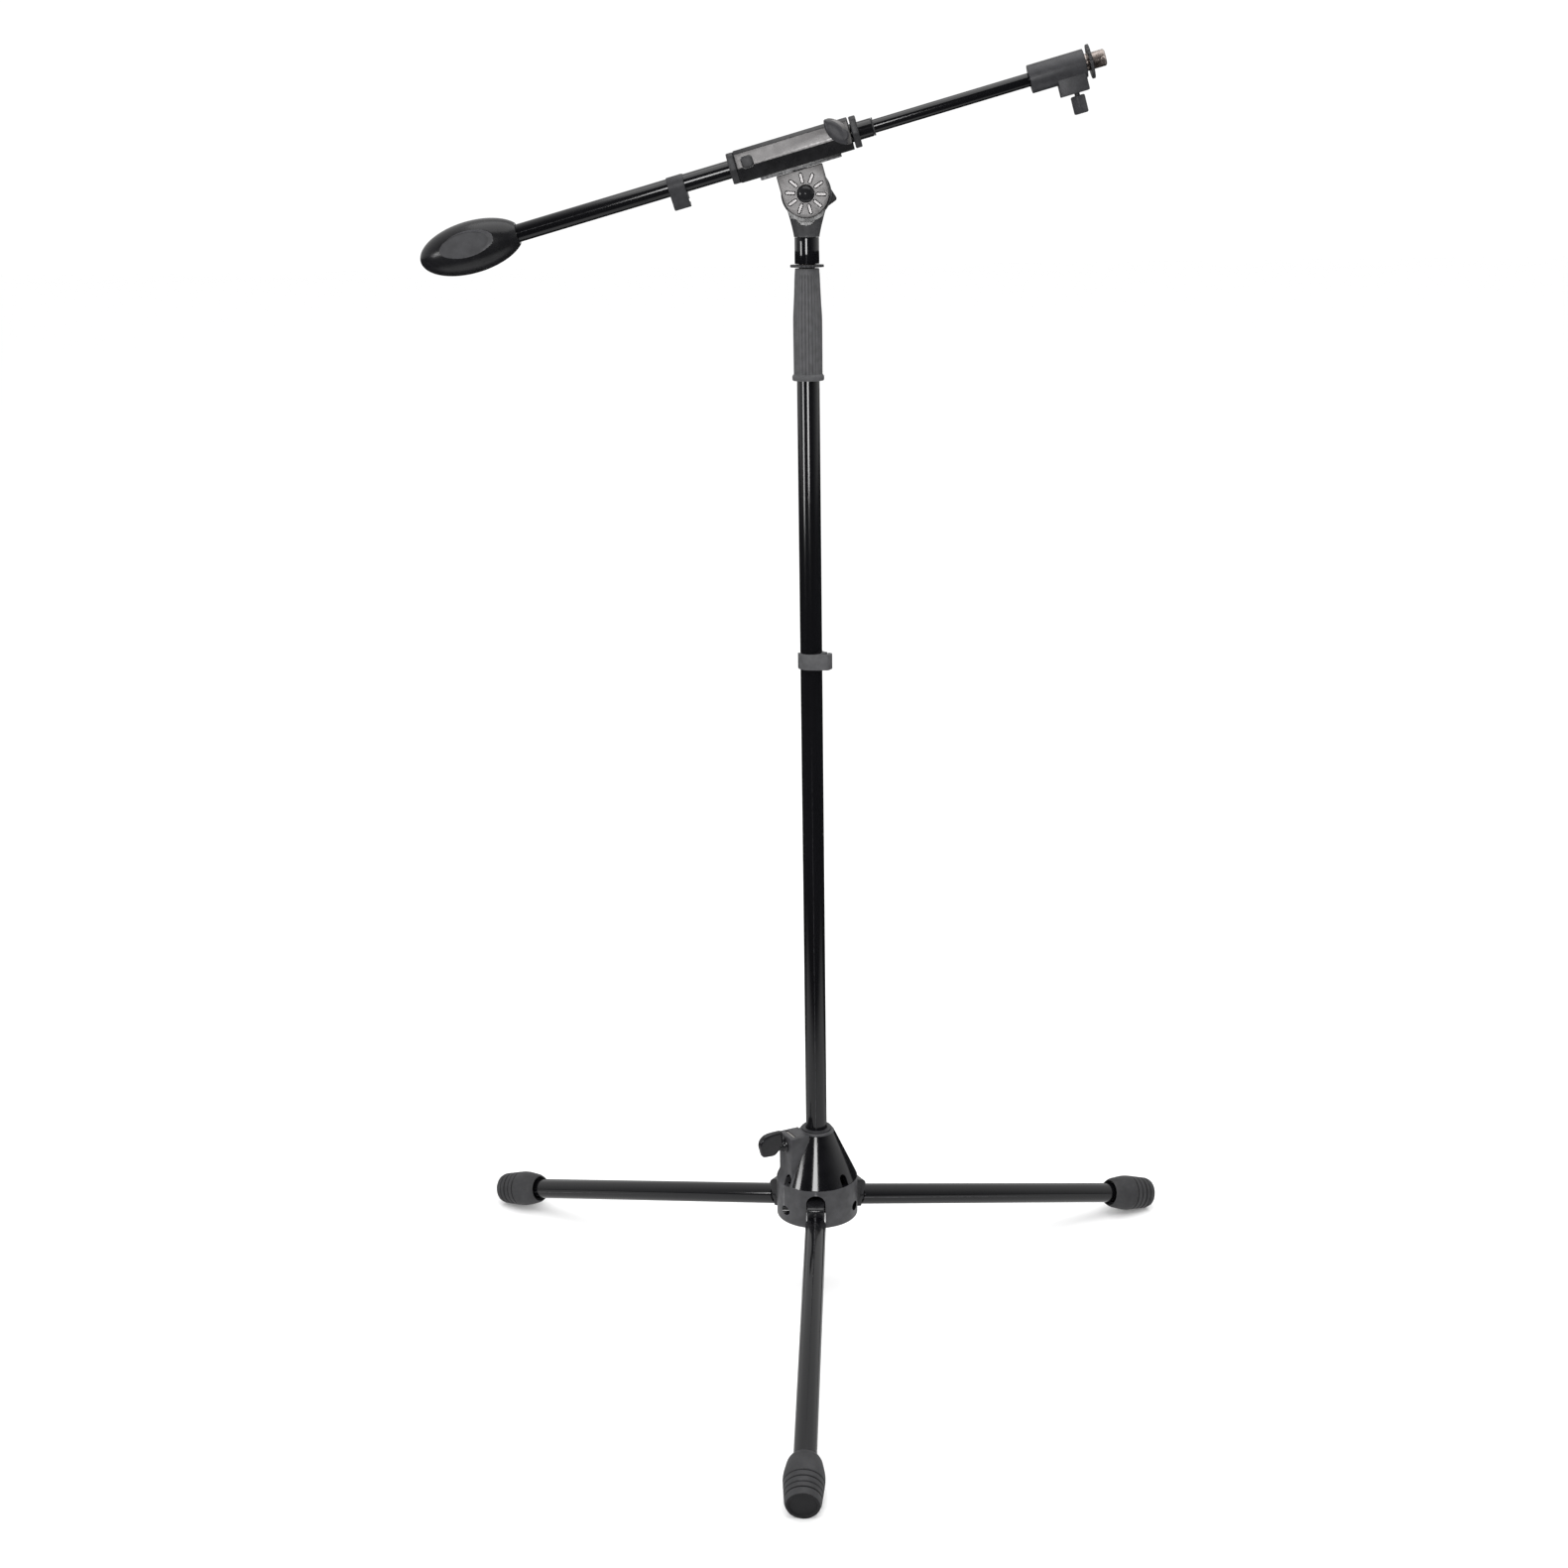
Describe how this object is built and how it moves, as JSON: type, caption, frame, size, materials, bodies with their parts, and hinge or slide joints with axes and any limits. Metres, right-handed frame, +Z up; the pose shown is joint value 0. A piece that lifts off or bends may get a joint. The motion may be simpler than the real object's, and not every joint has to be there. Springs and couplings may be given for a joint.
{
  "type": "boom microphone stand",
  "caption": "Floor-standing microphone stand: folding tripod base, telescopic mast with clutch grip, tilting telescopic boom with counterweight and threaded tip.",
  "frame": {"origin": "on the floor, at the middle of the bounding box of the stand with its legs spread", "axes": "+Z up along the mast; -Y towards the front leg; the boom lies in a plane parallel to XZ and rises towards +X"},
  "size_m": [0.7706, 0.6699, 1.2808],
  "materials": {
    "zinc_casting": "satin",
    "alloy_casting": "satin",
    "black_tube": "gloss",
    "black_moulding": "satin",
    "gloss_moulding": "gloss",
    "foot_rubber": "matte",
    "grey_grip": "matte",
    "plain_steel": "satin",
    "tip_nickel": "satin",
    "guide_plastic": "satin",
    "weight_iron": "matte"
  },
  "bodies": {
    "base": {"hub_casting": "zinc_casting", "hub_bush": "black_moulding", "hub_clamp_nut": "plain_steel", "hub_clamp_shoe": "guide_plastic", "leg_screw_front": "plain_steel", "leg_screw_right": "plain_steel", "leg_screw_left": "plain_steel"},
    "hub_knob": {"hub_wing_knob": "gloss_moulding"},
    "leg_front": {"leg_head_front": "black_moulding", "leg_tube_front": "black_tube", "foot_front": "foot_rubber"},
    "leg_right": {"leg_head_right": "black_moulding", "leg_tube_right": "black_tube", "foot_right": "foot_rubber"},
    "leg_left": {"leg_head_left": "black_moulding", "leg_tube_left": "black_tube", "foot_left": "foot_rubber"},
    "mast_outer": {"mast_base_plug": "black_moulding", "mast_outer_tube": "black_tube", "clutch_insert": "guide_plastic", "clutch_collet": "guide_plastic"},
    "mast_clip": {"mast_cable_clip": "grey_grip"},
    "grip": {"clutch_grip": "grey_grip"},
    "mast_inner": {"mast_inner_tube": "black_tube", "mast_inner_glide": "guide_plastic", "mast_stud": "plain_steel"},
    "mast_ring": {"mast_lock_ring": "black_moulding"},
    "knuckle": {"knuckle_sleeve": "black_tube", "knuckle_casting": "zinc_casting", "friction_washer": "foot_rubber"},
    "tilt_lever": {"tilt_lever": "black_moulding"},
    "swivel": {"swivel_plate": "alloy_casting", "tilt_bolt": "plain_steel", "tilt_cap": "black_moulding", "boom_holder": "alloy_casting", "holder_end_cap": "black_moulding", "holder_collar": "black_moulding", "holder_button": "black_moulding", "boom_clamp_shoe": "guide_plastic"},
    "wing_lever": {"boom_wing_lever": "black_moulding"},
    "boom_outer": {"boom_outer_tube": "black_tube", "boom_tube_bush": "black_moulding", "counterweight": "weight_iron"},
    "boom_clip": {"boom_cable_clip": "black_moulding"},
    "boom_inner": {"boom_inner_tube": "black_tube", "boom_inner_glide": "guide_plastic"},
    "boom_head": {"boom_head": "black_moulding", "boom_tip": "tip_nickel"},
    "head_screw": {"head_screw": "black_moulding"},
    "boom_ring": {"boom_lock_ring": "black_moulding"}
  },
  "joints": [
    {"name": "leg_fold_front", "type": "hinge", "parent": "base", "child": "leg_front", "pos_m": [0, 0.07603, 0.1075], "axis": [1, 0, 0], "range_deg": [0, 77]},
    {"name": "leg_fold_right", "type": "hinge", "parent": "base", "child": "leg_right", "pos_m": [0.02382, 0.11728, 0.1075], "axis": [-0.5, 0.866, 0], "range_deg": [0, 77]},
    {"name": "leg_fold_left", "type": "hinge", "parent": "base", "child": "leg_left", "pos_m": [-0.02382, 0.11728, 0.1075], "axis": [-0.5, -0.866, 0], "range_deg": [0, 77]},
    {"name": "hub_knob_turn", "type": "hinge", "parent": "base", "child": "hub_knob", "pos_m": [0, 0.10353, 0.1785], "axis": [-0.866, -0.5, 0], "range_deg": [0, 270]},
    {"name": "mast_slide", "type": "slide", "parent": "base", "child": "mast_outer", "axis": [0, 0, 1], "range_m": [0, 0.05]},
    {"name": "mast_clip_slide", "type": "slide", "parent": "mast_outer", "child": "mast_clip", "axis": [0, 0, 1], "range_m": [-0.45, 0.25]},
    {"name": "grip_turn", "type": "hinge", "parent": "mast_outer", "child": "grip", "pos_m": [0, 0.10353, 1], "axis": [0, 0, 1], "range_deg": [0, 90]},
    {"name": "mast_extend", "type": "slide", "parent": "mast_outer", "child": "mast_inner", "axis": [0, 0, 1], "range_m": [0, 0.6]},
    {"name": "mast_ring_turn", "type": "hinge", "parent": "mast_inner", "child": "mast_ring", "pos_m": [0, 0.10353, 1.083], "axis": [0, 0, 1], "range_deg": [-180, 180]},
    {"name": "knuckle_pan", "type": "hinge", "parent": "mast_inner", "child": "knuckle", "pos_m": [0, 0.10353, 1.1], "axis": [0, 0, 1], "range_deg": [-180, 180]},
    {"name": "tilt_lever_turn", "type": "hinge", "parent": "knuckle", "child": "tilt_lever", "pos_m": [0, 0.10353, 1.1502], "axis": [0, -1, 0], "range_deg": [-120, 30]},
    {"name": "boom_tilt", "type": "hinge", "parent": "knuckle", "child": "swivel", "pos_m": [0, 0.10353, 1.1502], "axis": [0, -1, 0], "range_deg": [-95, 75]},
    {"name": "wing_lever_turn", "type": "hinge", "parent": "swivel", "child": "wing_lever", "pos_m": [0.03548, 0.09153, 1.20241], "axis": [0, -1, 0], "range_deg": [0, 180]},
    {"name": "boom_slide", "type": "slide", "parent": "swivel", "child": "boom_outer", "axis": [0.9646, 0, 0.2639], "range_m": [-0.018, 0.044]},
    {"name": "boom_clip_slide", "type": "slide", "parent": "boom_outer", "child": "boom_clip", "axis": [0.9646, 0, 0.2639], "range_m": [-0.15, 0]},
    {"name": "boom_extend", "type": "slide", "parent": "boom_outer", "child": "boom_inner", "axis": [0.9646, 0, 0.2639], "range_m": [-0.145, 0.13]},
    {"name": "head_turn", "type": "hinge", "parent": "boom_inner", "child": "boom_head", "pos_m": [0.23032, 0.09153, 1.25571], "axis": [0.9646, 0, 0.2639], "range_deg": [-180, 180]},
    {"name": "head_screw_turn", "type": "hinge", "parent": "boom_head", "child": "head_screw", "pos_m": [0.2472, 0.09153, 1.26033], "axis": [0.2639, 0, -0.9646], "range_deg": [0, 270]},
    {"name": "boom_ring_turn", "type": "hinge", "parent": "boom_head", "child": "boom_ring", "pos_m": [0.26524, 0.09153, 1.26527], "axis": [0.9646, 0, 0.2639], "range_deg": [-180, 180]}
  ]
}
